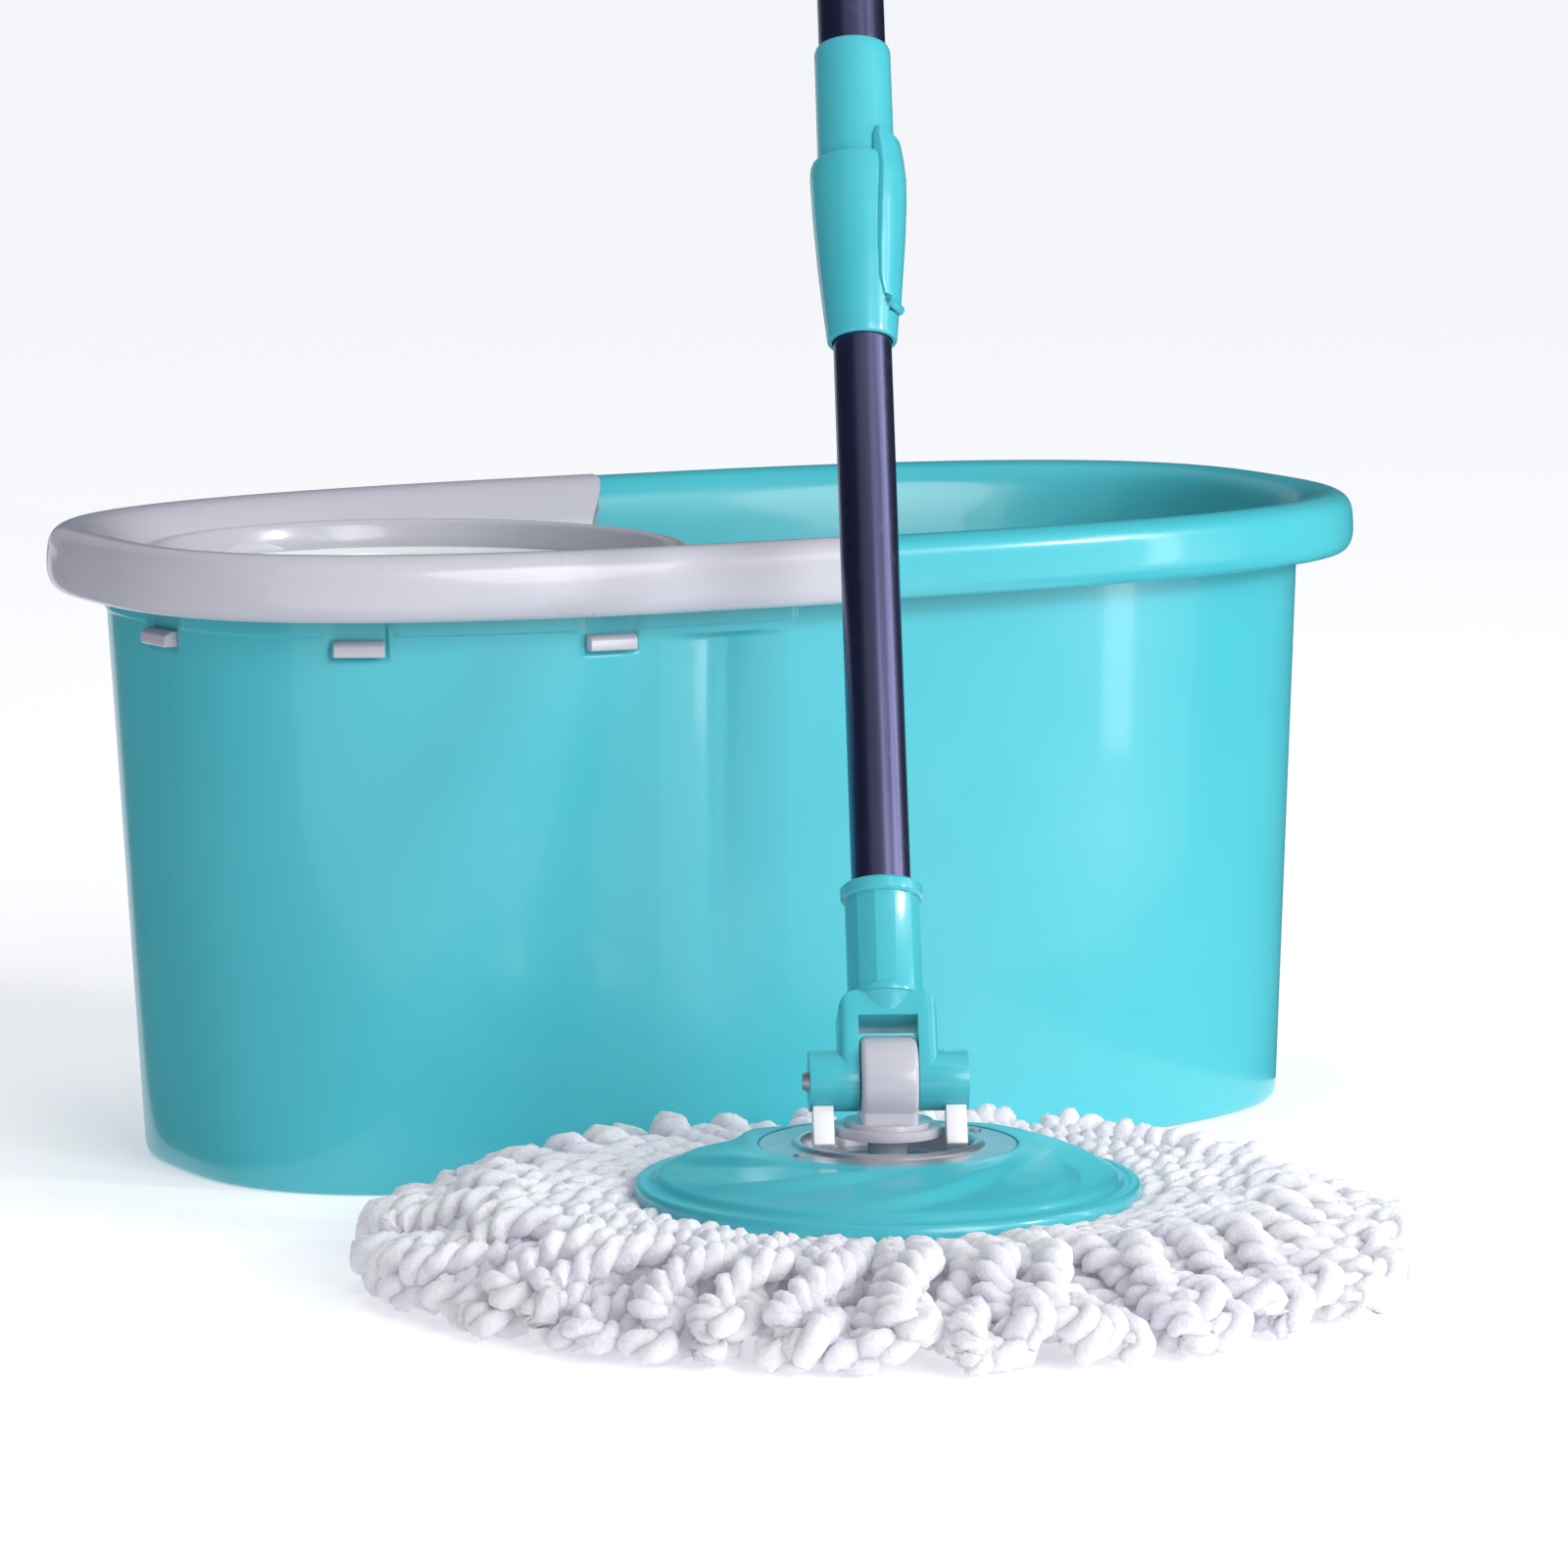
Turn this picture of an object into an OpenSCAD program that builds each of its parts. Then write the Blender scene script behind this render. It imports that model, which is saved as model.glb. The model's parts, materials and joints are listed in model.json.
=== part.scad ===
// Spin mop set: a two-lobed bucket with a spin insert and basket, and a mop with a telescopic press handle.
// Units are millimetres. The origin is the middle of the bucket's base, +X runs along the bucket to the
// water end and +Z is up.

/* [Bucket] */
// Length over the rim
bucket_l = 470; // [440:1:500]
// Width over the rim
bucket_w = 243; // [235:1:255]
// Height to the top of the rim
bucket_h = 215; // [205:1:230]
// Squareness of the outline, where 2 is an ellipse
bucket_power = 2.8; // [2.5:0.1:3.2]
// Wall thickness
wall = 2.6; // [2.2:0.1:3.2]
// How far the rim overhangs the wall below it
rim_over = 18.5; // [16:0.5:20]
// Height of the rim band
rim_h = 21; // [18:0.5:24]
// Height of the ledge over the waist recess
ledge_z = 184; // [178:1:186]
// Depth of the waist recess between the two lobes
waist_depth = 6; // [2:0.5:8]

/* [Spin insert] */
// Place of the spin basket along the bucket, from the middle
spin_x = -114; // [-118:1:-110]
// Outer radius of the raised lip
lip_r = 93.5; // [92:0.5:94.5]
// Height of the top of the lip
lip_top = 207; // [204:0.5:209]
// Where the front arm of the insert ends
arm_front_x = 5; // [0:1:10]
// Where the rear arm of the insert ends
arm_rear_x = 12; // [5:1:15]

/* [Basket] */
// Outer radius of the basket's rim
basket_r = 85.5; // [84:0.5:86.5]
// Height of the top of the basket's rim
basket_top = 198; // [194:1:199]
// Height of the underside of the basket's floor
basket_floor = 100; // [96:1:104]
// Number of drain slots round the basket
basket_slots = 20; // [12:1:24]

/* [Mop head] */
// Place of the mop head along X
mop_x = -81.4; // [-100:0.1:-60]
// Place of the mop head along Y
mop_y = -269.5; // [-290:0.1:-269]
// Radius of the head plate
plate_r = 80; // [76:1:82]
// Height of the plate's edge over the floor
plate_edge_z = 30; // [28:0.5:31]
// Radius of the yarn as it lies spread out
fringe_r = 165; // [150:1:166]
// Thickness of the spread yarn
fringe_h = 27; // [22:1:28]

/* [Handle] */
// Height of the tilting hinge over the floor
pivot_z = 62; // [61:0.5:64]
// Way that the handle leans, turned from the bucket's width
lean_yaw = 25; // [15:1:35]
// Angle that the handle leans from upright
lean = 28; // [15:1:35]
// Outer diameter of the lower tube
lower_d = 19; // [18:0.1:19.2]
// Outer diameter of the upper tube
upper_d = 22; // [21.8:0.1:22.4]
// Tube wall thickness
tube_wall = 0.8; // [0.6:0.1:0.9]
// Length of the lower tube
lower_l = 524; // [500:2:540]
// Distance from the hinge to the bottom of the clamp
clamp_s = 252; // [240:1:270]
// Distance from the hinge to the top of the upper tube
handle_s = 893; // [860:1:900]
// Length of one full twist of the spin rod
rod_pitch = 110; // [100:5:140]

/* [Hidden] */
$fn = 64;

teal = "#5ccddc";
pale = "#c8c8d2";
white = "#f4f5f6";
steel = "#c4c8cc";
dark_steel = "#5b5a78";

// Half sizes of the rim's outline, and of the wall at its top and at the base
rim_a = bucket_l / 2;
rim_b = bucket_w / 2;
wall_a = rim_a - rim_over;
wall_b = rim_b - rim_over;
base_a = wall_a - 9.5;
base_b = wall_b - 3.4;
base_shift = 3;
rim_z = bucket_h - rim_h;
floor_t = 3;
shelf_z = bucket_h - 10;

// Angles round the outline: even steps, with more of them along the waist
waist_x = -50;
waist_half = 24;
function side_angle(x) = 180 - acos(pow(abs(x) / rim_a, bucket_power / 2));
waist_steps = [for (x = [-76 : 6.5 : -24]) side_angle(x)];
waist_from = side_angle(-76) + 1;
waist_to = side_angle(-24) - 1;
even_steps = [for (t = [0 : 6 : 179]) if (t > waist_from || t < waist_to) t];
function low(list) = [for (t = list) if (t < waist_to) t];
function high(list) = [for (t = list) if (t > waist_from) t];
waist_back = [for (i = [len(waist_steps) - 1 : -1 : 0]) waist_steps[i]];
half_steps = concat(low(even_steps), waist_back, high(even_steps));
steps = concat(half_steps, [180], [for (i = [len(half_steps) - 1 : -1 : 1]) 360 - half_steps[i]]);

// A point of the outline with half sizes a and b at the angle t, before the waist is pressed in
function outline_x(a, t) = a * sign(cos(t)) * pow(abs(cos(t)), 2 / bucket_power);
function outline_y(b, t) = b * sign(sin(t)) * pow(abs(sin(t)), 2 / bucket_power);
function waist_fade(z) = z > ledge_z ? 0 : min(1, max(0, (z - 40) / 110));
function waist(x, z) = waist_depth * waist_fade(z) * max(0, 1 - abs(x - waist_x) / waist_half);
function outline_point(a, b, shift, z, t) =
    let (x = outline_x(a, t), y = outline_y(b, t))
    [x + shift, y - sign(y) * min(abs(y), waist(x, z)), z];
// A ring is [a, b, shift, z]
function ring(r) = [for (t = steps) outline_point(r[0], r[1], r[2], r[3], t)];
function wall_ring(z, inset) =
    let (k = z / rim_z)
    [base_a + (wall_a - base_a) * k - inset, base_b + (wall_b - base_b) * k - inset, base_shift * (1 - k), z];
function rim_ring(inset, z) = [rim_a - inset, rim_b - inset, 0, z];
function flat_outline(r) = [for (p = ring(r)) [p[0], p[1]]];

// A solid whose skin runs through the rings in order, closed by a cap at each end, or back to its start
module skin(rings, closed = false) {
    n = len(steps);
    m = len(rings);
    points = [for (r = rings) each ring(r)];
    last = closed ? m : m - 1;
    sides = [for (i = [0 : last - 1]) for (j = [0 : n - 1])
        let (up = ((i + 1) % m) * n, k = (j + 1) % n, a = i * n + j, b = i * n + k, c = up + k, d = up + j)
        each [[a, c, b], [a, d, c]]];
    caps = closed ? [] : [[for (j = [0 : n - 1]) j], [for (j = [n - 1 : -1 : 0]) (m - 1) * n + j]];
    polyhedron(points = points, faces = concat(sides, caps), convexity = 8);
}

// Clip tabs: even steps round the spinner's lobe, each placed where its ray meets the wall
tab_steps = [283, 233, 189, 139.8, 92.3];
tab_z = 181;
tab_w = 17;
tab_h = 5;
function wall_at(x) = wall_b * pow(max(0, 1 - pow(abs(x) / wall_a, bucket_power)), 1 / bucket_power);
module at_tabs() {
    for (t = tab_steps)
        let (reach = [for (d = [85 : 0.25 : 130])
            let (x = spin_x + d * cos(t), y = d * sin(t))
            if (abs(x) < wall_a && abs(y) < wall_at(x)) d],
            d = max(reach), x = spin_x + d * cos(t), y = d * sin(t),
            nx = sign(x) * pow(abs(x) / wall_a, bucket_power - 1) / wall_a,
            ny = sign(y) * pow(abs(y) / wall_b, bucket_power - 1) / wall_b)
        translate([x, y, tab_z]) rotate([0, 0, atan2(ny, nx)]) children();
}

// The part of the set that the insert covers: everything left of its two curved arm ends
module insert_side(grow = 0) {
    difference() {
        linear_extrude(height = 120) union() {
            translate([-300, -200]) square([300 + arm_front_x + grow, 200]);
            translate([-300, 0]) square([300 + arm_rear_x + grow, 200]);
        }
        for (end = [[arm_front_x, -1], [arm_rear_x, 1]])
            translate([end[0] + 14 + grow, end[1] * (rim_b - 40), -1]) cylinder(r = 24, h = 130);
    }
}

module bucket_shell() {
    color(teal) difference() {
        skin([
            [base_a - 4, base_b - 4, base_shift, 0], wall_ring(1.4, 1.2), wall_ring(4, 0),
            wall_ring(40, 0), wall_ring(95, 0), wall_ring(150, 0), wall_ring(ledge_z - 0.6, 0),
            wall_ring(ledge_z + 0.6, 0), wall_ring(rim_z + 9, 0),
            rim_ring(14.5, bucket_h - 5.5), rim_ring(6, bucket_h - 4.5), rim_ring(2.6, bucket_h - 9),
            rim_ring(2.4, rim_z), rim_ring(0.2, rim_z), rim_ring(0, rim_z + 14),
            rim_ring(1.6, bucket_h - 2.6), rim_ring(5, bucket_h - 0.5), rim_ring(8, bucket_h),
            rim_ring(12, bucket_h - 0.8), rim_ring(16, bucket_h - 4), rim_ring(19, bucket_h - 10),
            wall_ring(rim_z - 4, wall), wall_ring(ledge_z + 0.6, wall), wall_ring(ledge_z - 0.6, wall),
            wall_ring(150, wall), wall_ring(95, wall), wall_ring(40, wall),
            wall_ring(7, wall), wall_ring(floor_t, wall + 4)]);
        // The insert caps the rim here, so only the wall stands, up to the shelf that the insert sits on
        difference() {
            translate([0, 0, rim_z - 3]) insert_side(0.4);
            translate([0, 0, rim_z - 4]) linear_extrude(height = shelf_z - rim_z + 4)
                polygon(flat_outline([wall_a, wall_b, 0, rim_z]));
        }
        // Room for the insert's lip, windows for the clips, and pilot holes for the seat's screws
        translate([spin_x, 0, ledge_z + 8]) cylinder(r = lip_r + 1, h = 40);
        at_tabs() translate([-wall - 3, -tab_w / 2 - 0.7, -0.8]) cube([wall + 6, tab_w + 1.4, tab_h + 1.6]);
        translate([spin_x, 0, 0.9]) at_screws() cylinder(r = screw_r + 0.02, h = floor_t);
    }
}

// A rounded rim that wraps the bucket's wall, a sunken deck and a raised lip round the basket's mouth
module spin_insert() {
    deck_top = 198.4;
    deck_t = 2.2;
    color(pale) {
        intersection() {
            skin([
                rim_ring(2.4, rim_z - 0.4), rim_ring(0, rim_z - 0.4), rim_ring(-0.2, rim_z + 14),
                rim_ring(1.4, bucket_h - 2.4), rim_ring(4.8, bucket_h - 0.2), rim_ring(8, bucket_h + 0.4),
                rim_ring(12, bucket_h - 0.5), rim_ring(17, bucket_h - 3.5), rim_ring(21.5, bucket_h - 7.5),
                rim_ring(24.4, bucket_h - 12), rim_ring(26, deck_top), rim_ring(26, deck_top - deck_t),
                rim_ring(22.2, deck_top - deck_t), rim_ring(22.2, shelf_z - 1.5),
                rim_ring(20.7, shelf_z), rim_ring(15.6, shelf_z),
                rim_ring(11, bucket_h - 3.4), rim_ring(6, bucket_h - 3.6), rim_ring(3, bucket_h - 8)],
                closed = true);
            translate([0, 0, rim_z - 10]) insert_side();
        }
        deck(deck_top - deck_t, deck_t);
        translate([spin_x, 0, 0]) lip(deck_top);
        clips(deck_top);
    }
}
// The sunken deck: the left lobe, with a concave edge either side of the lip where the water shows
module deck(z, t) {
    reach = 58;
    translate([0, 0, z]) difference() {
        linear_extrude(height = t) intersection() {
            polygon(flat_outline([rim_a - 25.5, rim_b - 25.5, 0, rim_z]));
            translate([-300, -150]) square([300 + spin_x + reach, 300]);
        }
        translate([spin_x, 0, -1]) cylinder(r = lip_r - 3, h = t + 2);
    }
}
module lip(deck_top) {
    rotate_extrude($fn = 96) polygon([
        [lip_r - 6.4, 191], [lip_r - 4.4, 191], [lip_r - 4.2, 199], [lip_r - 2.6, 202.6],
        [lip_r - 2.2, 196.2], [lip_r + 0.6, 196.2], [lip_r, deck_top + 3],
        for (a = [0 : 20 : 160]) [lip_r - 3 + 2.8 * cos(a), lip_top - 3 + 3 * sin(a)],
        [lip_r - 6.2, 200]]);
}
module clips(deck_top) {
    at_tabs() {
        translate([-wall - 3.2, -tab_w / 2, 0]) cube([2, tab_w, deck_top - tab_z - 0.6]);
        translate([-wall - 1.4, -tab_w / 2, 0]) cube([wall + 4.4, tab_w, tab_h]);
    }
}

// The fixed seat, spindle and their fasteners under the basket
screw_r = 1.8;
spindle_r = 4;
seat_top = basket_floor - 8;
module at_screws() for (a = [90, 210, 330]) rotate([0, 0, a]) translate([28, 0, 0]) children();
module spindle_seat() {
    color(white) translate([spin_x, 0, 0]) difference() {
        rotate_extrude() polygon([[spindle_r, floor_t], [34, floor_t], [34, 7], [23.5, 7], [20, 12],
            [12, seat_top - 4], [10, seat_top], [spindle_r, seat_top]]);
        at_screws() cylinder(r = screw_r, h = 20);
    }
}
module seat_screws() {
    color("silver") translate([spin_x, 0, 0]) at_screws() {
        translate([0, 0, 1]) cylinder(r = screw_r, h = 8);
        translate([0, 0, 7]) cylinder(r1 = 3.6, r2 = 3, h = 2.2);
    }
}
module spindle() {
    color(steel) translate([spin_x, 0, 0]) {
        translate([0, 0, 40]) cylinder(r = spindle_r, h = basket_floor + 24 - 40);
    }
}
module thrust_washer() {
    color("goldenrod") translate([spin_x, 0, seat_top]) difference() {
        cylinder(r = 9, h = 1.6);
        translate([0, 0, -1]) cylinder(r = spindle_r + 0.05, h = 4);
    }
}
module spindle_nut() {
    color(steel) translate([spin_x, 0, basket_floor + 16.4]) difference() {
        union() {
            cylinder(r = 6.9, h = 1.2);
            translate([0, 0, 1.2]) cylinder(r = 6.6, h = 5, $fn = 6);
        }
        translate([0, 0, -1]) cylinder(r = spindle_r, h = 9);
    }
}

// The perforated basket and the hub that carries it on the spindle
module spin_basket() {
    t = 2;
    top = basket_top;
    color(white) translate([spin_x, 0, 0]) difference() {
        rotate_extrude($fn = 96) polygon([
            [13, basket_floor], [66, basket_floor], [71, basket_floor + 4], [78, top - 14],
            [basket_r, top - 5], [basket_r, top - 1.2], [basket_r - 1.4, top], [basket_r - 4.4, top],
            [basket_r - 6, top - 1.6], [78 - t, top - 13], [71 - t, basket_floor + 5],
            [65.4, basket_floor + 3], [13, basket_floor + 3]]);
        for (i = [0 : basket_slots - 1], z = [110 : 25 : 160])
            rotate([0, 0, i * 360 / basket_slots]) translate([60, -3.5, z]) cube([40, 7, 19]);
        for (i = [0 : 11], r = [34, 50])
            rotate([0, 0, i * 30 + r]) translate([r, 0, basket_floor - 1]) cylinder(r = 3.5, h = 6, $fn = 24);
    }
}
module basket_hub() {
    base = basket_floor;
    color(pale) translate([spin_x, 0, 0]) rotate_extrude() polygon([
        [8, base - 5.6], [18, base - 5.6], [18, base], [13, base], [13, base + 3], [22, base + 3],
        [22, base + 6], [14, base + 12], [11.6, base + 30], [9.5, base + 33], [0, base + 33.4],
        [0, base + 30], [7.6, base + 29], [8.4, base + 14.6], [8, base + 14.6]]);
}
module basket_bearing() {
    color("goldenrod") translate([spin_x, 0, basket_floor - 5.6]) difference() {
        cylinder(r = 8, h = 20.2);
        translate([0, 0, -1]) cylinder(r = spindle_r + 0.05, h = 24);
    }
}

// Swivelling post in the middle of the mop head
neck_r = 6.4;
hub_z = 36;
module head_frame() translate([mop_x, mop_y, 0]) children();
module tilt_frame() translate([mop_x, mop_y, pivot_z]) rotate([0, 0, -lean_yaw]) children();
module swivel_post() {
    color(pale) {
        head_frame() difference() {
            union() {
                translate([0, 0, 22]) cylinder(r = neck_r, h = 24);
                translate([0, 0, 45]) cylinder(r = 17, h = 3);
                translate([0, 0, 48]) cylinder(r = 14, h = 1.6);
            }
            translate([0, 0, 21]) cylinder(r = 2, h = 16);
        }
        tilt_frame() difference() {
            union() {
                rotate([0, 90, 0]) rotate_extrude() polygon([[0, -9], [12, -9], [13.2, -8.6], [13.8, -7.8],
                    [14, -6.8], [14, 6.8], [13.8, 7.8], [13.2, 8.6], [12, 9], [0, 9]]);
                translate([0, 0, 49.6 - pivot_z]) linear_extrude(height = pivot_z - 49.6) offset(r = 2)
                    square([14, 18], center = true);
            }
            rotate([0, 90, 0]) cylinder(r = hinge_r + 0.05, h = 30, center = true);
            translate([-20, -20, 47 - pivot_z]) cube([40, 40, 2.6]);
        }
    }
}
module post_washer() {
    color(steel) head_frame() translate([0, 0, 20.4]) difference() {
        cylinder(r = 9.4, h = 1.6);
        translate([0, 0, -1]) cylinder(r = 2, h = 4);
    }
}
module post_screw() {
    color(steel) head_frame() {
        translate([0, 0, 17.6]) cylinder(r = 4, h = 2.8);
        translate([0, 0, 20]) cylinder(r = 2, h = 16);
    }
}
module swivel_bearing() {
    color("silver") head_frame() translate([0, 0, 25]) difference() {
        cylinder(r = 11, h = 8);
        translate([0, 0, -1]) cylinder(r = neck_r + 0.06, h = 12);
    }
}

// Mop head: plate, steel ring and its rivets, the yarn's carrier and the yarn
ring_z = 41.2;
rivet_count = 2;
module at_rivets() for (i = [0 : rivet_count - 1]) rotate([0, 0, 10 + i * 360 / rivet_count])
    translate([35.6, 0, 0]) children();
module head_plate() {
    edge = plate_edge_z;
    crown = 42.4;
    function dome(r) = crown - (crown - edge - 0.8) * pow((r - 41) / (plate_r - 44), 1.35);
    color(teal) head_frame() difference() {
        rotate_extrude($fn = 96) polygon([
            [plate_r, 19.4], [plate_r, edge - 0.8], [plate_r - 1, edge + 0.4], [plate_r - 3, edge + 0.8],
            for (r = [plate_r - 9 : -7 : 43]) [r, dome(r)], [41, crown], [41, ring_z], [28.2, ring_z],
            [28.2, hub_z], [neck_r + 0.6, hub_z], [neck_r + 0.6, 33], [11, 33], [11, 25], [9.6, 25],
            [9.6, 23], [14, 23], [14.6, 33], [31, 33.4], [31.6, 38.4], [41, 38.6],
            for (r = [43 : 7 : plate_r - 9]) [r, dome(r) - 2.6],
            [plate_r - 3, edge - 2], [plate_r - 2.6, 19.4]]);
        at_rivets() cylinder(r = 1.5, h = 60);
    }
}
module steel_ring() {
    top = ring_z + 0.8;
    color(steel) head_frame() difference() {
        rotate_extrude($fn = 96) polygon([
            [18, hub_z], [26.4, hub_z], [27.6, ring_z], [40.6, ring_z], [40.6, top], [30.6, top],
            [29.6, top + 1.2], [28.6, top + 1.6], [27.6, top + 1.2], [26.8, top], [25.7, hub_z + 0.9],
            [18, hub_z + 0.9]]);
        at_rivets() cylinder(r = 1.5, h = 60);
    }
}
module ring_rivets() {
    color("silver") head_frame() at_rivets() {
        translate([0, 0, 39]) cylinder(r = 1.48, h = 3.4);
        translate([0, 0, ring_z + 0.8]) cylinder(r1 = 2.2, r2 = 1.4, h = 0.8);
    }
}
module yarn_carrier() {
    color(white) head_frame() rotate_extrude($fn = 96) polygon([
        [46, 15], [plate_r - 4, 15], [plate_r - 4, 26.4], [plate_r - 6, 26.4], [plate_r - 6, 17.4],
        [48, 17.4], [48, 30], [46, 30]]);
}
module yarn_fringe() {
    r = fringe_r;
    color(white) head_frame() rotate_extrude($fn = 72) polygon([
        [44, 0], [r - 14, 0], [r - 5, 3], [r - 1, 8], [r, 13], [r - 1, 18], [r - 5, fringe_h - 3],
        [r - 14, fringe_h], [plate_r + 14, fringe_h], [plate_r + 4, fringe_h - 2],
        [plate_r + 0.8, fringe_h - 7], [plate_r + 0.6, 15], [44, 15]]);
}

// Handle: its frame has the hinge at the origin, X along the hinge pin and Z up the tube
hinge_r = 3;
barrel_r = 9.6;
arch_w = 31;
socket_z = 62.6;
tube_z = 36;
lower_r = lower_d / 2;
upper_r = upper_d / 2;
module pole_frame() tilt_frame() rotate([-lean, 0, 0]) children();
module yoke() {
    gap = 9.4;
    color(teal) pole_frame() difference() {
        union() {
            rotate([0, 90, 0]) cylinder(r = barrel_r, h = 50, center = true);
            // Cheeks either side of the post, joined over it by a round-shouldered arch
            intersection() {
                linear_extrude(height = 28) offset(r = 3) square([arch_w - 6, 12.8], center = true);
                rotate([90, 0, 0]) linear_extrude(height = 30, center = true) offset(r = 6)
                    translate([6 - arch_w / 2, -20]) square([arch_w - 12, 41]);
            }
            translate([0, 0, 20.6]) cylinder(r1 = 9.4, r2 = 12, h = 6.4);
            translate([0, 0, 26.6]) cylinder(r = 12.7, h = 2);
            translate([0, 0, 28]) rotate([0, 0, 15]) cylinder(r = 12.1, h = socket_z - 28, $fn = 12);
            translate([0, 0, socket_z - 3]) rotate_extrude() polygon([[9, 0], [12.4, 0], [13.2, 1],
                [13.2, 4], [12.4, 4.8], [9, 4.8]]);
        }
        translate([-gap, -20, -20]) cube([2 * gap, 40, 38.8]);
        translate([0, 0, tube_z]) cylinder(r = lower_r, h = 60);
        rotate([0, 90, 0]) cylinder(r = hinge_r, h = 80, center = true);
    }
}
module locking_feet() {
    color(white) pole_frame() difference() {
        for (s = [-1, 1]) translate([s * 20.9 - 3.3, -3.5, -22]) cube([6.6, 7, 16]);
        rotate([0, 90, 0]) cylinder(r = barrel_r + 0.02, h = 80, center = true);
    }
}
module hinge_pin() {
    color(steel) pole_frame() rotate([0, 90, 0]) {
        translate([0, 0, -25.5]) cylinder(r = hinge_r, h = 50);
        translate([0, 0, -27]) cylinder(r1 = 2.6, r2 = 3.6, h = 2);
    }
}
module tube(r, wall_t, from, to) {
    translate([0, 0, from]) difference() {
        cylinder(r = r, h = to - from);
        translate([0, 0, -1]) cylinder(r = r - wall_t, h = to - from + 2);
    }
}
lower_top = tube_z + lower_l;
module lower_tube() color(dark_steel) pole_frame() tube(lower_r, tube_wall, tube_z, lower_top);

// Spin drive at the top of the lower tube: a nut that a twisted rod turns, in a housing with a cap
bore_r = lower_r - tube_wall;
module drive_housing() {
    color(white) pole_frame() translate([0, 0, lower_top]) rotate_extrude() polygon([
        [5.3, -25], [bore_r, -25], [bore_r, 0], [lower_r, 0], [lower_r, 2], [7.8, 2], [7.8, -19],
        [5.3, -19]]);
}
module drive_cap() {
    color(pale) pole_frame() translate([0, 0, lower_top]) rotate_extrude() polygon([
        [5.3, -4], [7.8, -4], [7.8, 2], [lower_r, 2], [lower_r, 3.4], [5.3, 3.4]]);
}
rod_w = 9;
rod_t = 1.5;
nut_z = lower_top - 15;
module drive_nut() {
    color("goldenrod") pole_frame() difference() {
        union() {
            translate([0, 0, nut_z]) cylinder(r = 7.4, h = 7);
            translate([0, 0, nut_z - 3.6]) cylinder(r = 6.8, h = 14.2);
        }
        translate([0, 0, nut_z - 5]) cylinder(r = 5.3, h = 5);
        translate([0, 0, nut_z + 7]) cylinder(r = 5.3, h = 6);
        translate([0, 0, nut_z - 1]) rotate([0, 0, rod_turn(nut_z + 3.5)])
            translate([-4.9, -1.9, 0]) cube([9.8, 3.8, 9]);
    }
}
rod_from = 285;
rod_to = 835;
function rod_turn(s) = -(s - rod_from) / rod_pitch * 360;
module spin_rod() {
    color(steel) pole_frame() {
        translate([0, 0, rod_from]) linear_extrude(height = rod_to - rod_from,
            twist = (rod_to - rod_from) / rod_pitch * 360,
            slices = ceil((rod_to - rod_from) / rod_pitch * 32), segments = 4)
            square([rod_w, rod_t], center = true);
        translate([0, 0, rod_to]) cylinder(r = 4.6, h = 20);
    }
}

// Upper tube, its grip and cap, and the clamp that holds the telescopic length
module upper_tube() color(dark_steel) pole_frame() tube(upper_r, tube_wall, clamp_s + 48, handle_s);
module rod_plug() {
    color(white) pole_frame() translate([0, 0, rod_to]) difference() {
        cylinder(r = upper_r - tube_wall, h = 26);
        translate([0, 0, -1]) cylinder(r = 4.6, h = 21);
    }
}
module handle_grip() {
    from = handle_s - 128;
    color(teal) pole_frame() rotate_extrude() polygon([
        [upper_r, from], [13, from], [14.4, from + 2], [14.4, from + 6], [13.2, from + 9],
        for (z = [from + 14 : 11 : from + 102]) each [[13.2, z], [12.6, z + 2], [12.6, z + 4], [13.2, z + 6]],
        [14, from + 118], [14, from + 128], [upper_r, from + 128]]);
}
eye_s = handle_s + 25;
module end_cap() {
    color(teal) pole_frame() difference() {
        union() {
            translate([0, 0, handle_s - 14]) cylinder(r = upper_r - tube_wall, h = 15);
            translate([0, 0, handle_s]) cylinder(r = 14, h = 8);
            translate([0, 0, handle_s + 8]) cylinder(r1 = 14, r2 = 10, h = 6);
            translate([-11, -4, handle_s + 6]) cube([22, 8, eye_s - handle_s - 6]);
            translate([0, 0, eye_s]) rotate([90, 0, 0]) cylinder(r = 11, h = 8, center = true);
        }
        translate([0, 0, eye_s]) rotate([90, 0, 0]) cylinder(r = 5.5, h = 40, center = true);
    }
}
module clamp_liner() {
    color(white) pole_frame() difference() {
        union() {
            tube(upper_r - tube_wall, upper_r - tube_wall - lower_r - 0.08, clamp_s + 48, clamp_s + 84);
            tube(12.5, 12.5 - lower_r - 0.08, clamp_s + 44, clamp_s + 48);
        }
        translate([0, 9.8, clamp_s + 60]) cube([1.6, 4, 50], center = true);
    }
}
module clamp_collar() {
    color(teal) pole_frame() translate([0, 0, clamp_s]) rotate_extrude() polygon([
        [upper_r, 48], [12.6, 48], [12.5, 103], [12, 104.6], [11.4, 105], [upper_r, 105]]);
}
// The lever's own frame: X points out of the tube through the lever, Z runs up the tube
lever_turn = -27;
lever_w = 7;
lever_x = 11.5;
lever_s = clamp_s + 11;
lever_pin_r = 0.8;
lever_hub_r = 1.7;
module lever_frame() pole_frame() rotate([0, 0, lever_turn]) children();
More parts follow.
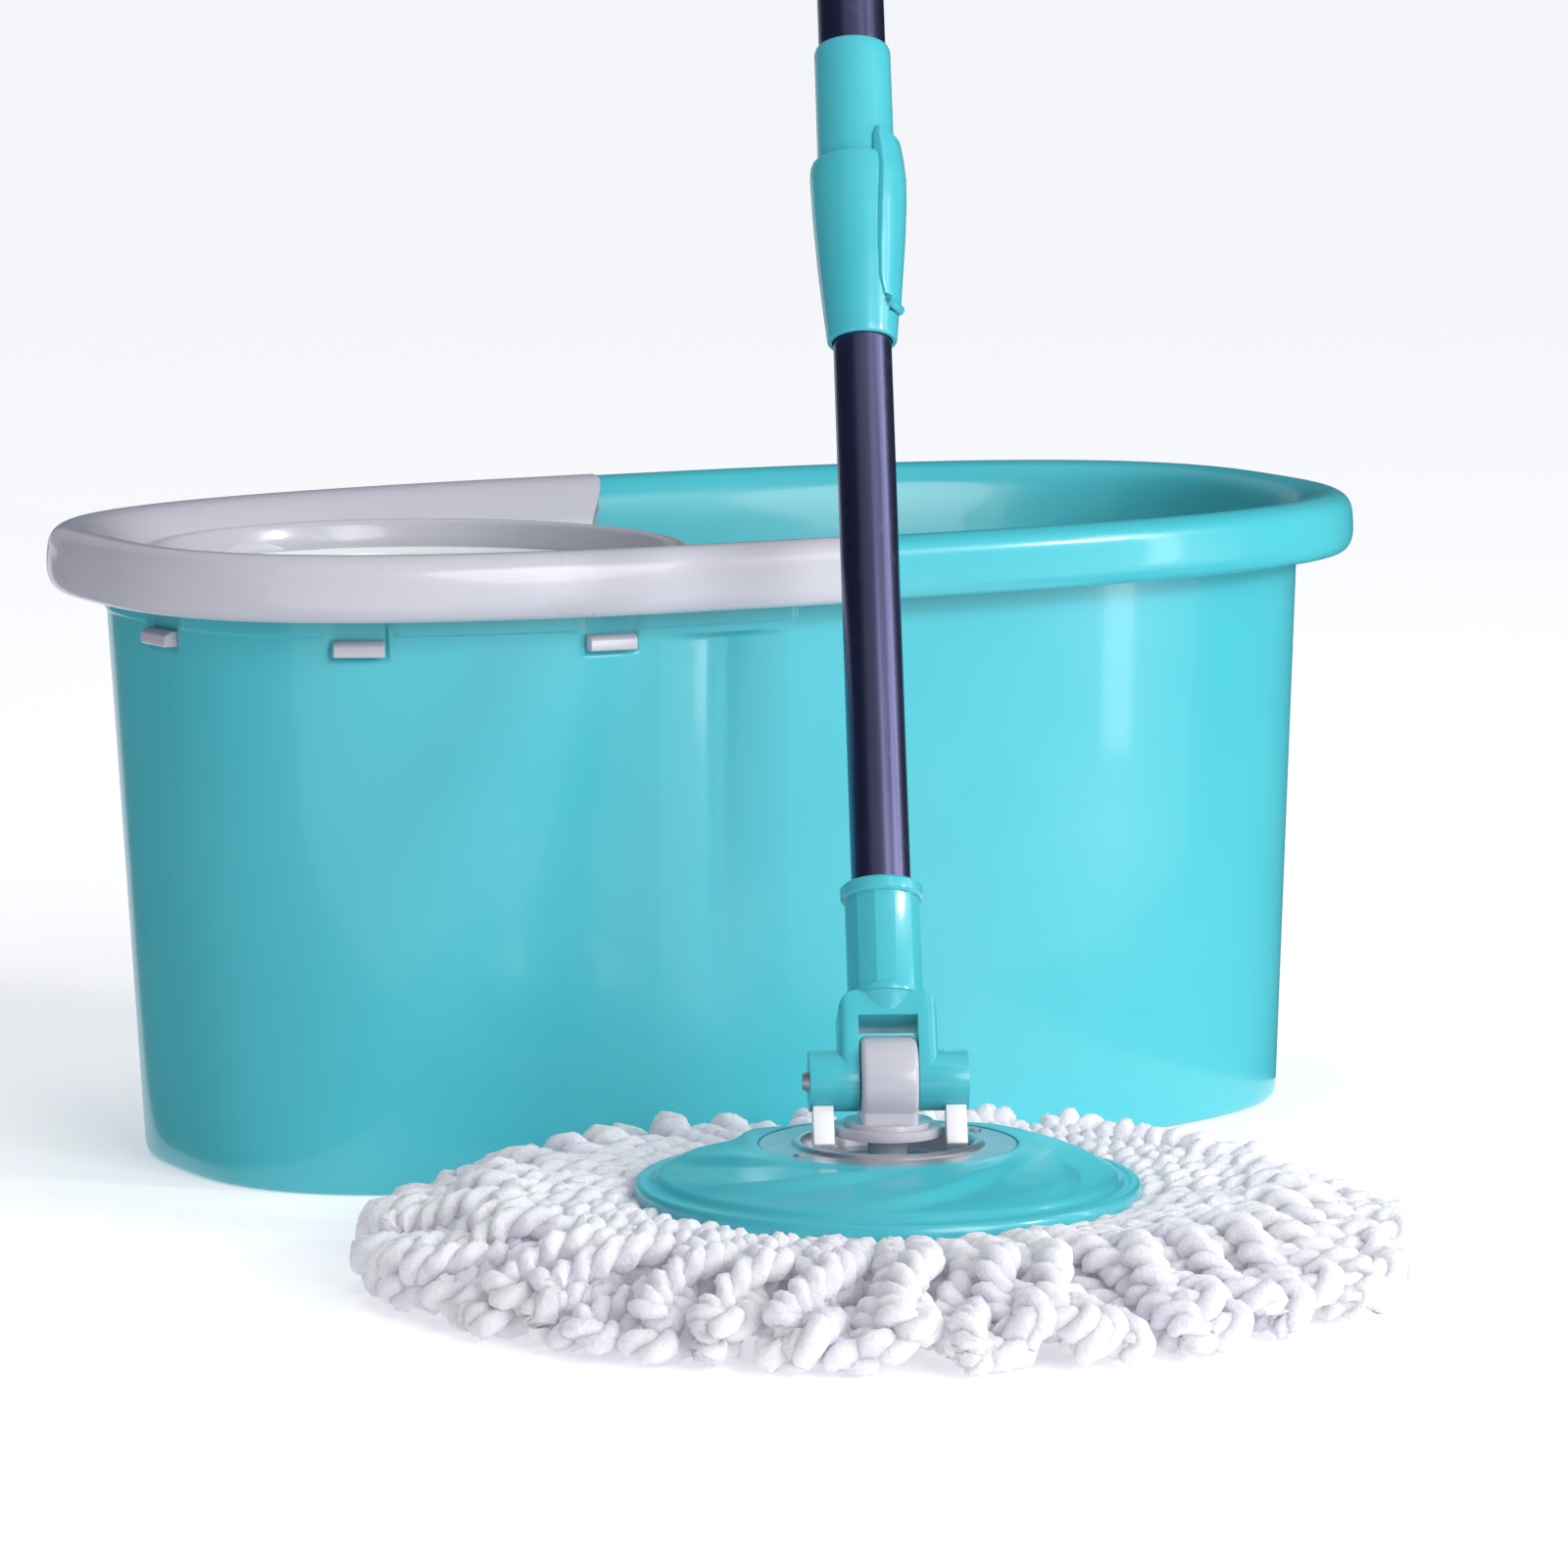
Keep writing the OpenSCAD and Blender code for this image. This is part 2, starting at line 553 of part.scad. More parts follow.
// The outline of the lever's leaf as seen from outside, pushed through the sleeve
module leaf_outline(grow = 0) {
    translate([0, 0, clamp_s]) rotate([90, 0, 90]) linear_extrude(height = 30) offset(delta = grow)
        polygon([[-3.4, 9.6], [-6.2, 13], [-8, 19], [-8.9, 30], [-9.3, 44], [-9, 60], [-8.6, 69],
            [-7.6, 72.2], [-6, 72.6], [-4.4, 70.6], [3, 69.6], [7.4, 67], [9.4, 62], [10, 44], [9.3, 30],
            [8, 19], [6.2, 13], [3.4, 9.6]]);
}
module clamp_sleeve() {
    color(teal) difference() {
        union() {
            difference() {
                pole_frame() translate([0, 0, clamp_s]) rotate_extrude() polygon([
                    [9.9, 0], [11, 0], [11.4, 0.6], [12.3, 10], [13.7, 26], [14.8, 44], [15.3, 58],
                    [15, 61.5], [14.4, 63], [12.9, 63], [12.9, 44], [12.5, 44], [9.9, 40]]);
                // Seat for the leaf, down to a thin wall over the lower tube
                lever_frame() difference() {
                    leaf_outline(0.35);
                    cylinder(r = 10.9, h = clamp_s + 42);
                }
            }
            for (s = [-1, 1]) lever_frame() translate([lever_x, s * 4.5, lever_s]) rotate([90, 0, 0])
                cylinder(r = lever_hub_r, h = 1.3, center = true);
        }
        lever_frame() {
            translate([9.7, -lever_w / 2 - 0.35, lever_s - 3]) cube([9, lever_w + 0.7, 34]);
            translate([lever_x, 0, lever_s]) rotate([90, 0, 0])
                cylinder(r = lever_pin_r, h = 30, center = true);
        }
    }
}
module clamp_lever() {
    // A leaf of a shell that lies flush in the sleeve, with one corner drawn up over the collar
    color(teal) lever_frame() difference() {
        union() {
            intersection() {
                translate([0, 0, clamp_s]) rotate([0, 0, -60]) rotate_extrude(angle = 120, $fn = 96) polygon([
                    [11.3, 9], [12.5, 9], [13.2, 14], [14.1, 24], [15.2, 36], [16, 48], [16.2, 57],
                    [15.6, 64], [14.2, 73], [13.2, 73], [13.2, 42], [11.3, 36]]);
                leaf_outline();
            }
            translate([lever_x, 0, lever_s]) rotate([90, 0, 0])
                cylinder(r = lever_hub_r, h = lever_w, center = true);
        }
        translate([lever_x, 0, lever_s]) rotate([90, 0, 0]) {
            cylinder(r = lever_pin_r + 0.06, h = 40, center = true);
            for (s = [-1, 1]) translate([0, 0, s * (lever_w / 2 + 5)])
                cylinder(r = lever_hub_r + 0.4, h = 10, center = true);
        }
    }
}
module lever_pin() {
    color(steel) lever_frame() translate([lever_x, 0, lever_s]) rotate([90, 0, 0])
        cylinder(r = lever_pin_r, h = 10.3, center = true);
}

bucket_shell();
spin_insert();
spindle_seat();
seat_screws();
spindle();
thrust_washer();
spindle_nut();
spin_basket();
basket_hub();
basket_bearing();
swivel_post();
post_washer();
post_screw();
swivel_bearing();
head_plate();
steel_ring();
ring_rivets();
yarn_carrier();
yarn_fringe();
yoke();
locking_feet();
hinge_pin();
lower_tube();
drive_housing();
drive_cap();
drive_nut();
upper_tube();
clamp_liner();
clamp_collar();
clamp_sleeve();
clamp_lever();
lever_pin();
rod_plug();
spin_rod();
handle_grip();
end_cap();
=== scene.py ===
"""Looks of a spin mop set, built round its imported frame: bucket, spin insert, yarn mop and press handle."""

import json
import math
import random

import bmesh
import bpy
import numpy as np
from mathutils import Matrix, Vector


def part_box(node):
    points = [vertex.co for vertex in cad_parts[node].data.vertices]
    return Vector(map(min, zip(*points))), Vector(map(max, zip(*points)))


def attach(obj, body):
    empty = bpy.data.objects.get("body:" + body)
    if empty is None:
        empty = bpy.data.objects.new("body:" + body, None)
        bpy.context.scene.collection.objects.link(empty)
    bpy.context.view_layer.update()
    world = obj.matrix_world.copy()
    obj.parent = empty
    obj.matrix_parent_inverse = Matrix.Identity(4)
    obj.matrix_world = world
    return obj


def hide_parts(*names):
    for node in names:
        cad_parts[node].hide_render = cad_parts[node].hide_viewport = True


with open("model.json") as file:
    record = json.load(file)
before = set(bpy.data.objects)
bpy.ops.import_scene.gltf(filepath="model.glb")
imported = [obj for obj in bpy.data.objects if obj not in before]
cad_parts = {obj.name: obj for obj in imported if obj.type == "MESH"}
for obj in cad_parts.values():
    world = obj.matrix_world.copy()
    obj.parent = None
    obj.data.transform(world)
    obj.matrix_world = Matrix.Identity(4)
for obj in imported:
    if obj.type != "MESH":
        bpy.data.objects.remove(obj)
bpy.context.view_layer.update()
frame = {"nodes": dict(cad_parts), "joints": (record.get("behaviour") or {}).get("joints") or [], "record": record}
joints = {joint["name"]: joint for joint in frame["joints"]}
MM = 0.001


# ---------------------------------------------------------------- camera, lights and floor
def make_camera():
    """About 2.9 m away, 28.5 degrees round to the left of the bucket's width, looking a little down."""
    place = (-1.3375, -2.5130, 0.5078)
    yaw, pitch = math.radians(28.515), math.radians(-7.79)
    data = bpy.data.cameras.new("camera")
    data.lens = 190.45
    data.sensor_width = 36
    camera = bpy.data.objects.new("camera", data)
    camera.location = place
    camera.rotation_euler = (math.pi / 2 + pitch, 0, -yaw)
    bpy.context.scene.collection.objects.link(camera)
    bpy.context.scene.camera = camera


def area_light(name, place, aim, size, watts):
    data = bpy.data.lights.new(name, "AREA")
    data.shape = "RECTANGLE"
    data.size, data.size_y = size
    data.energy = watts
    light = bpy.data.objects.new(name, data)
    light.location = place
    light.rotation_euler = (Vector(aim) - Vector(place)).to_track_quat("-Z", "Y").to_euler()
    bpy.context.scene.collection.objects.link(light)
    return light


def sun_light(name, azimuth, elevation, strength, spread):
    """A sun that stands at an azimuth and elevation seen from the part, all in degrees."""
    data = bpy.data.lights.new(name, "SUN")
    data.energy = strength
    data.angle = math.radians(spread)
    light = bpy.data.objects.new(name, data)
    light.rotation_euler = (math.radians(90 - elevation), 0, math.radians(azimuth + 90))
    bpy.context.scene.collection.objects.link(light)


def stage_mesh(name, points, faces, colour, roughness, glow=0.0):
    """A plain painted piece of the studio, which isn't part of the product."""
    mesh = bpy.data.meshes.new(name)
    mesh.from_pydata(points, [], faces)
    obj = bpy.data.objects.new(name, mesh)
    bpy.context.scene.collection.objects.link(obj)
    paint = Nodes(name + "_paint").set(Base_Color=(*colour, 1), Roughness=roughness)
    paint.set(Emission_Color=(1, 1, 1, 1), Emission_Strength=glow)
    mesh.materials.append(paint.material)
    return obj


def side_card(name, near, far):
    """A dark card to one side, lying and then standing. It only shows as a reflection in glossy plastic."""
    front, back, low, high = -0.35, 3, 0.002, 1.6
    points = [(near, front, low), (near, back, low), (far, back, low), (far, front, low),
              (far, back, high), (far, front, high)]
    card = stage_mesh(name, points, [(0, 1, 2, 3), (3, 2, 4, 5)], (0.04, 0.06, 0.10), 1.0)
    card.visible_camera = card.visible_diffuse = card.visible_shadow = card.visible_transmission = False


def make_floor():
    half = 20
    corners = [(-half, -half, 0), (half, -half, 0), (half, half, 0), (-half, half, 0)]
    stage_mesh("floor", corners, [(0, 1, 2, 3)], (0.93, 0.93, 0.94), 0.9, glow=0.34)


def make_studio():
    """Two soft suns, two upright lamps that show as streaks on the bucket, and an even pale surround."""
    side_card("card_left", -0.212, -0.62)
    side_card("card_right", 0.215, 0.62)
    sun_light("key_front", -84, 20, 1.4, 34)
    sun_light("key_right", -48, 22, 0.85, 9)
    area_light("strip_right", (0.545, -0.505, 0.31), (0.105, -0.096, 0.12), (0.06, 0.6), 0.75)
    area_light("strip_front", (-0.02, -0.70, 0.36), (-0.11, -0.09, 0.12), (0.10, 0.6), 0.35)
    area_light("top", (0.0, -0.1, 2.1), (0, -0.1, 0.2), (1.8, 1.4), 10).visible_glossy = False
    world = bpy.data.worlds.new("studio")
    bpy.context.scene.world = world
    world.use_nodes = True
    background = world.node_tree.nodes["Background"]
    background.inputs["Color"].default_value = (0.90, 0.92, 1.0, 1)
    background.inputs["Strength"].default_value = 0.40
    bpy.context.scene.view_settings.view_transform = "Standard"
    make_floor()


# ---------------------------------------------------------------- materials
class Nodes:
    """A short way to build a node material in object space. A noise scale is in cells per metre."""

    def __init__(self, name):
        self.material = bpy.data.materials.new(name)
        self.material.use_nodes = True
        self.tree = self.material.node_tree
        self.shader = self.tree.nodes["Principled BSDF"]
        self.place = self.tree.nodes.new("ShaderNodeTexCoord").outputs["Object"]

    def set(self, **values):
        for key, value in values.items():
            self.shader.inputs[key.replace("_", " ")].default_value = value
        return self

    def link(self, source, socket):
        self.tree.links.new(source, self.shader.inputs[socket])

    def stretched(self, scale, turn=(0, 0, 0), place=None):
        node = self.tree.nodes.new("ShaderNodeMapping")
        node.inputs["Scale"].default_value = scale
        node.inputs["Rotation"].default_value = turn
        self.tree.links.new(place or self.place, node.inputs["Vector"])
        return node.outputs["Vector"]

    def noise(self, scale, detail=2.0, place=None, distortion=0.0):
        node = self.tree.nodes.new("ShaderNodeTexNoise")
        node.inputs["Scale"].default_value = scale
        node.inputs["Detail"].default_value = detail
        node.inputs["Distortion"].default_value = distortion
        self.tree.links.new(place or self.place, node.inputs["Vector"])
        return node.outputs["Fac"]

    def remap(self, source, low, high, new_low, new_high):
        node = self.tree.nodes.new("ShaderNodeMapRange")
        for key, value in zip(("From Min", "From Max", "To Min", "To Max"), (low, high, new_low, new_high)):
            node.inputs[key].default_value = value
        self.tree.links.new(source, node.inputs["Value"])
        return node.outputs["Result"]

    def add(self, a, b):
        node = self.tree.nodes.new("ShaderNodeMath")
        node.operation = "ADD"
        self.tree.links.new(a, node.inputs[0])
        self.tree.links.new(b, node.inputs[1])
        return node.outputs["Value"]

    def between(self, factor, low, high):
        node = self.tree.nodes.new("ShaderNodeMix")
        node.data_type = "RGBA"
        node.inputs["A"].default_value = (*low, 1)
        node.inputs["B"].default_value = (*high, 1)
        self.tree.links.new(factor, node.inputs["Factor"])
        return node.outputs["Result"]

    def bump(self, height, distance, strength=1.0, onto=None):
        node = self.tree.nodes.new("ShaderNodeBump")
        node.inputs["Distance"].default_value = distance
        node.inputs["Strength"].default_value = strength
        self.tree.links.new(height, node.inputs["Height"])
        if onto is not None:
            self.tree.links.new(onto, node.inputs["Normal"])
        return node.outputs["Normal"]


def moulded_plastic(name, low, high, gloss, coat=0.4, scuffs=0.06, through=0.0):
    """Moulded plastic: a slow drift of colour, cloudy gloss with fine scuffs, and a faint ripple."""
    m = Nodes(name).set(Coat_Weight=coat, Coat_Roughness=0.08, IOR=1.46)
    if through:
        m.set(Subsurface_Weight=through, Subsurface_Radius=(0.004, 0.006, 0.007), Subsurface_Scale=1.0)
    m.link(m.between(m.remap(m.noise(9, 3), 0.35, 0.65, 0, 1), low, high), "Base Color")
    clouds = m.remap(m.noise(28, 4), 0.3, 0.7, gloss - 0.015, gloss + 0.02)
    lines = m.remap(m.noise(1.0, 6, m.stretched((60, 60, 1800), (0.3, 0.2, 0))), 0.62, 0.72, 0, scuffs)
    m.link(m.add(clouds, lines), "Roughness")
    m.link(m.bump(m.noise(55, 2), 0.00012, 0.5, m.bump(m.noise(2600, 2), 0.00001, 0.4)), "Normal")
    return m.material


def polished_tube(name, axis):
    """Dark polished tube: drawing lines along it, a slight violet drift, and a few handling marks."""
    m = Nodes(name).set(Metallic=1.0, Coat_Weight=0.25, Coat_Roughness=0.12)
    turn = Vector(axis).to_track_quat("Z", "Y").inverted().to_euler()
    upright = m.stretched((1, 1, 1), tuple(turn))
    grain = m.noise(1.0, 3, m.stretched((900, 900, 9), place=upright))
    drift = m.remap(m.noise(14, 3), 0.3, 0.7, 0, 1)
    m.link(m.between(drift, (0.105, 0.105, 0.205), (0.135, 0.132, 0.245)), "Base Color")
    marks = m.remap(m.noise(160, 5), 0.6, 0.75, 0, 0.12)
    m.link(m.add(m.remap(grain, 0.3, 0.7, 0.27, 0.35), marks), "Roughness")
    m.link(m.bump(grain, 0.000008, 0.5), "Normal")
    return m.material


def bright_metal(name, low, high, gloss):
    """Turned or pressed bright metal with fine brushing."""
    m = Nodes(name).set(Metallic=1.0)
    brushed = m.noise(1.0, 3, m.stretched((300, 300, 2600)))
    m.link(m.between(m.remap(m.noise(60, 3), 0.3, 0.7, 0, 1), low, high), "Base Color")
    m.link(m.remap(brushed, 0.3, 0.7, gloss - 0.06, gloss + 0.08), "Roughness")
    m.link(m.bump(brushed, 0.000012, 0.5), "Normal")
    return m.material


def yarn_material(name):
    """Soft white microfibre: short fibres, clumped nap, a faint painted glow that lightens it all over, and
    painted cool shade in patches and in the clumps' hollows.
    """
    # The emission is a painted glow: it lightens the whole yarn although the yarn is no lamp.
    m = Nodes(name).set(Roughness=0.95, Sheen_Weight=0.4, Sheen_Roughness=0.6, Specular_IOR_Level=0.12,
                        Emission_Color=(0.96, 0.96, 1.0, 1), Emission_Strength=0.05)
    m.set(Subsurface_Weight=0.5, Subsurface_Radius=(0.008, 0.008, 0.009), Subsurface_Scale=1.0)
    clumps = m.noise(420, 4, distortion=0.8)
    nap = m.noise(1700, 3, distortion=1.4)
    # The lavender low colour is painted shade: it falls where the clumps' bump is low, and in slow patches.
    drift = m.add(m.remap(m.noise(38, 3), 0.38, 0.62, 0, 0.6), m.remap(clumps, 0.35, 0.65, 0, 0.4))
    m.link(m.between(drift, (0.76, 0.75, 0.88), (0.95, 0.95, 0.97)), "Base Color")
    m.link(m.bump(nap, 0.0005, 0.8, m.bump(clumps, 0.0011, 0.8)), "Normal")
    return m.material


def make_materials():
    pole = joints["handle_press"]["axis"]
    plastic = moulded_plastic
    return {
        "teal_gloss": plastic("teal_gloss", (0.052, 0.45, 0.52), (0.070, 0.48, 0.545), 0.29, 0.35, 0.02),
        "grey_gloss": plastic("grey_gloss", (0.50, 0.495, 0.555), (0.53, 0.525, 0.58), 0.28, 0.4, 0.01),
        "white_plastic": plastic("white_plastic", (0.86, 0.87, 0.88), (0.91, 0.92, 0.93), 0.35, 0.2),
        "basket_plastic": plastic("basket_plastic", (0.72, 0.78, 0.76), (0.79, 0.84, 0.82), 0.28, 0.3,
                                  through=0.2),
        "tube_metal": polished_tube("tube_metal", pole),
        "bright_steel": bright_metal("bright_steel", (0.66, 0.65, 0.69), (0.76, 0.75, 0.79), 0.4),
        "brass": bright_metal("brass", (0.70, 0.52, 0.25), (0.80, 0.62, 0.33), 0.28),
        "yarn": yarn_material("yarn"),
    }


# ---------------------------------------------------------------- mesh helpers
def add_object(name, build, slot, materials, sharp):
    """One smooth-shaded object of a build's shapes. Edges sharper than an angle in degrees stay crisp."""
    mesh = build.mesh(name)
    mesh.materials.append(materials[slot])
    mesh.shade_smooth()
    mesh.set_sharp_from_angle(angle=math.radians(sharp))
    obj = bpy.data.objects.new(name, mesh)
    bpy.context.scene.collection.objects.link(obj)
    return obj


class Build:
    """Collects vertices and faces of several closed shapes into one mesh."""

    def __init__(self):
        self.points = []
        self.faces = []
        self.count = 0

    def grid(self, rows, wrap_rows=False, wrap_columns=True, caps=True):
        """rows is an array (row, column, xyz). Faces run between neighbouring rows."""
        rows = np.asarray(rows, float)
        m, n = rows.shape[:2]
        base = self.count
        self.points.append(rows.reshape(-1, 3))
        self.count += m * n
        index = base + np.arange(m * n).reshape(m, n)
        i0 = np.arange(m if wrap_rows else m - 1)
        j0 = np.arange(n if wrap_columns else n - 1)
        a = index[np.ix_(i0, j0)]
        b = index[np.ix_(i0, (j0 + 1) % n)]
        c = index[np.ix_((i0 + 1) % m, (j0 + 1) % n)]
        d = index[np.ix_((i0 + 1) % m, j0)]
        self.faces += np.stack([a, b, c, d], -1).reshape(-1, 4).tolist()
        if caps and wrap_columns and not wrap_rows:
            self.faces.append(index[0, ::-1].tolist())
            self.faces.append(index[-1].tolist())
        if caps and wrap_rows and not wrap_columns:
            self.faces.append(index[:, 0].tolist())
            self.faces.append(index[::-1, -1].tolist())

    def mesh(self, name):
        mesh = bpy.data.meshes.new(name)
        mesh.from_pydata(np.concatenate(self.points).tolist(), [], self.faces)
        work = bmesh.new()
        work.from_mesh(mesh)
        bmesh.ops.recalc_face_normals(work, faces=work.faces)
        work.to_mesh(mesh)
        work.free()
        mesh.update()
        return mesh


def rounded(corners, arc=5):
    """A path through corners, each (values, radius). Every corner that has a radius becomes an arc."""
    path = []
    last = len(corners) - 1
    for i, (here, radius) in enumerate(corners):
        here = np.array(here, float)
        if radius == 0 or i in (0, last):
            path.append(here)
            continue
        before = np.array(corners[i - 1][0], float) - here
        after = np.array(corners[i + 1][0], float) - here
        cut_a = min(radius, 0.49 * np.linalg.norm(before))
        cut_b = min(radius, 0.49 * np.linalg.norm(after))
        start = here + before / np.linalg.norm(before) * cut_a
        end = here + after / np.linalg.norm(after) * cut_b
        for k in range(arc + 1):
            t = k / arc
            path.append((1 - t) ** 2 * start + 2 * t * (1 - t) * here + t * t * end)
    return np.array(path)


def smooth(points, rounds=3):
    """An open path with its corners cut again and again, so that it runs as one soft curve."""
    path = np.array(points, float)
    for _ in range(rounds):
        cut = np.empty((2 * len(path) - 2, path.shape[1]))
        cut[0::2] = 0.75 * path[:-1] + 0.25 * path[1:]
        cut[1::2] = 0.25 * path[:-1] + 0.75 * path[1:]
        path = np.concatenate([path[:1], cut, path[-1:]])
    return path


def revolve(build, profile, centre, steps=128):
    """profile holds (radius, height) rows of a closed section."""
    angles = np.linspace(0, 2 * math.pi, steps, endpoint=False)
    r, z = np.asarray(profile).T
    rows = np.stack([r[:, None] * np.cos(angles), r[:, None] * np.sin(angles),
                     np.broadcast_to(z[:, None], (len(z), steps))], -1)
    build.grid(rows + np.array(centre), wrap_rows=True)


# ---------------------------------------------------------------- the bucket's outline
# The rim's half sizes and top come from the CAD's box. The other sizes repeat the part's own, in metres.
spin = np.array(joints["basket_spin"]["pos_m"])
RIM_A, RIM_B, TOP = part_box("bucket_shell")[1]
POWER = 2.8
RIM_OVER = 18.5 * MM
RIM_Z = TOP - 21 * MM
WALL_A, WALL_B = RIM_A - RIM_OVER, RIM_B - RIM_OVER
BASE_A, BASE_B, BASE_SHIFT = WALL_A - 9.5 * MM, WALL_B - 3.4 * MM, 3 * MM
WALL = 2.6 * MM
LEDGE_Z = 184 * MM
WAIST_X, WAIST_HALF, WAIST_DEPTH = -50 * MM, 24 * MM, 6 * MM
SHELF_Z = TOP - 10 * MM
ARM_FRONT, ARM_REAR = 5 * MM, 12 * MM  # where the insert's two arms end along X
LIP_R = 93.5 * MM
LIP_TOP = 207 * MM
DECK_Z = 198.4 * MM
CLIP_ANGLES = (283, 233, 189, 139.8, 92.3)
CREASE_DEPTH, CREASE_WIDTH = 0.13, 1.6 * MM
BAND_Z, BAND_PROUD = 187.6 * MM, 0.9 * MM
NOTCH_HALF, POCKET_HALF, POCKET_Z = 12 * MM, 9.5 * MM, 179.8 * MM


def signed_power(value, power):
    return np.sign(value) * np.abs(value) ** power


def even_angles(count):
    """Outline angles at even distances along the rim."""
    t = np.linspace(0, 2 * math.pi, 20001)
    x = RIM_A * signed_power(np.cos(t), 2 / POWER)
    y = RIM_B * signed_power(np.sin(t), 2 / POWER)
    length = np.concatenate([[0], np.cumsum(np.hypot(np.diff(x), np.diff(y)))])
    return np.interp(np.linspace(0, length[-1], count, endpoint=False), length, t)


def outline(a, b, shift, angles):
    """Points of the bucket's outline, an oval squared off by POWER, with half sizes a and b."""
    return a * signed_power(np.cos(angles), 2 / POWER) + shift, b * signed_power(np.sin(angles), 2 / POWER)


def rim(inset, z):
    """One ring of the rim, some millimetres in from its outermost outline: half sizes, shift and height."""
    return (RIM_A - inset * MM, RIM_B - inset * MM, 0, z)


def wall(z, inset=0.0):
    """One ring of the wall, which widens from the base to the rim: half sizes, shift and height."""
    k = z / RIM_Z
    a, b = BASE_A + (WALL_A - BASE_A) * k, BASE_B + (WALL_B - BASE_B) * k
    return (a - inset, b - inset, BASE_SHIFT * (1 - k), z)


def soft_step(value, low, high):
    t = np.clip((value - low) / (high - low), 0, 1)
    return t * t * (3 - 2 * t)


def waist(x, z):
    """How deep the wall is pressed in between the lobes: a shallow fold under a ledge, dying out below."""
    fade = soft_step(z, 30 * MM, 125 * MM) * (1 - soft_step(z, LEDGE_Z - 1 * MM, LEDGE_Z + 1.2 * MM))
    across = np.clip(1 - np.abs(x - WAIST_X) / WAIST_HALF, 0, 1)
    crease = across - CREASE_DEPTH * np.exp(-((x - WAIST_X) / CREASE_WIDTH) ** 2)
    return WAIST_DEPTH * fade * np.clip(crease, 0, 1) ** 1.15


def distance_out(a, b, c, s):
    """How far the outline with half sizes a and b is from the basket's axis, in the direction (c, s)."""
    low, high = np.full_like(c, 0.05), np.full_like(c, 0.4)
    for _ in range(40):
        middle = (low + high) / 2
        inside = (np.abs(spin[0] + middle * c) / a) ** POWER + (np.abs(middle * s) / b) ** POWER < 1
        low, high = np.where(inside, middle, low), np.where(inside, high, middle)
    return low


def tab_places():
    """Where each clip shows through the wall: point, and the direction that the wall faces."""
    places = []
    for degrees in CLIP_ANGLES:
        c, s = math.cos(math.radians(degrees)), math.sin(math.radians(degrees))
        distance = float(distance_out(WALL_A, WALL_B, c, s))
        x, y = spin[0] + distance * c, distance * s
        facing = Vector((math.copysign(abs(x) ** (POWER - 1) / WALL_A ** POWER, x),
                         math.copysign(abs(y) ** (POWER - 1) / WALL_B ** POWER, y), 0)).normalized()
        places.append((Vector((x, y, 0)), facing))
    return places


# ---------------------------------------------------------------- bucket
def make_bucket(materials):
    """One closed skin: up the outside, over the rolled rim, down the inside and in across the floor."""
    outside = rounded([(wall(0, 9 * MM), 0), (wall(0), 5 * MM)]
                      + [(wall(z * MM), 0) for z in (30, 60, 90, 120, 150, 170)])
    upper = np.array([wall(z * MM) for z in np.arange(176, 203, 0.75)])
    rim_under = rounded([
        (wall(203.5 * MM), 0), (rim(14.5, TOP - 5.5 * MM), 2 * MM), (rim(8, TOP - 4.5 * MM), 2 * MM),
        (rim(3.6, TOP - 9 * MM), 2 * MM), (rim(3.4, RIM_Z + 6 * MM), 2 * MM),
        (rim(7.4, RIM_Z + 1.4 * MM), 0)])
    rim_over = smooth([
        rim(7.6, RIM_Z + 0.4 * MM), rim(6.6, RIM_Z), rim(2.4, RIM_Z + 0.4 * MM), rim(0, RIM_Z + 4.5 * MM),
        rim(-0.1, RIM_Z + 11 * MM), rim(0.8, TOP - 3 * MM), rim(5.4, TOP + 0.3 * MM),
        rim(10, TOP + 0.2 * MM), rim(15, TOP - 1.6 * MM), rim(18.8, TOP - 8 * MM),
        wall(RIM_Z - 8 * MM, WALL)])
    rim_path = np.concatenate([rim_under, rim_over])
    inside = np.array([wall(z * MM, WALL) for z in (183, 170, 150, 120, 90, 60, 30, 14)])
    floor_z = 3 * MM
    floor_path = rounded([
        (wall(13 * MM, WALL), 0), (wall(floor_z, WALL), 8 * MM), (wall(floor_z, 30 * MM), 0)])
    rings = np.concatenate([outside, upper, rim_path, inside, floor_path])
    angles = even_angles(900)
    first_rim = len(outside) + len(upper)
    last_rim = first_rim + len(rim_path)
    rows = []
    for i, (a, b, shift, z) in enumerate(rings):
        x, y = outline(a, b, shift, angles)
        z = np.full_like(x, z)
        if first_rim <= i < last_rim:
            # Under the insert the rim is left out and the wall just ends at a shelf
            side = np.where(y < 0, ARM_FRONT, ARM_REAR) - 12 * MM
            hidden = x < side
            wall_inset = RIM_OVER if i < first_rim + len(rim_path) // 2 else RIM_OVER + WALL
            hx, hy = outline(RIM_A - wall_inset, RIM_B - wall_inset, 0, angles)
            x, y = np.where(hidden, hx, x), np.where(hidden, hy, y)
            z = np.where(hidden, SHELF_Z - 0.4 * MM, z)
        if i < first_rim or i >= last_rim:
            y = y - np.sign(y) * np.minimum(np.abs(y), waist(x, z))
            if i < first_rim:
                x, y = band_and_tabs(x, y, z)
        rows.append(np.stack([x, y, z], -1))
    build = Build()
    build.grid(rows)
    obj = add_object("bucket_shell_body", build, "teal_gloss", materials, sharp=42)
    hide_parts("bucket_shell")
    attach(obj, "bucket")


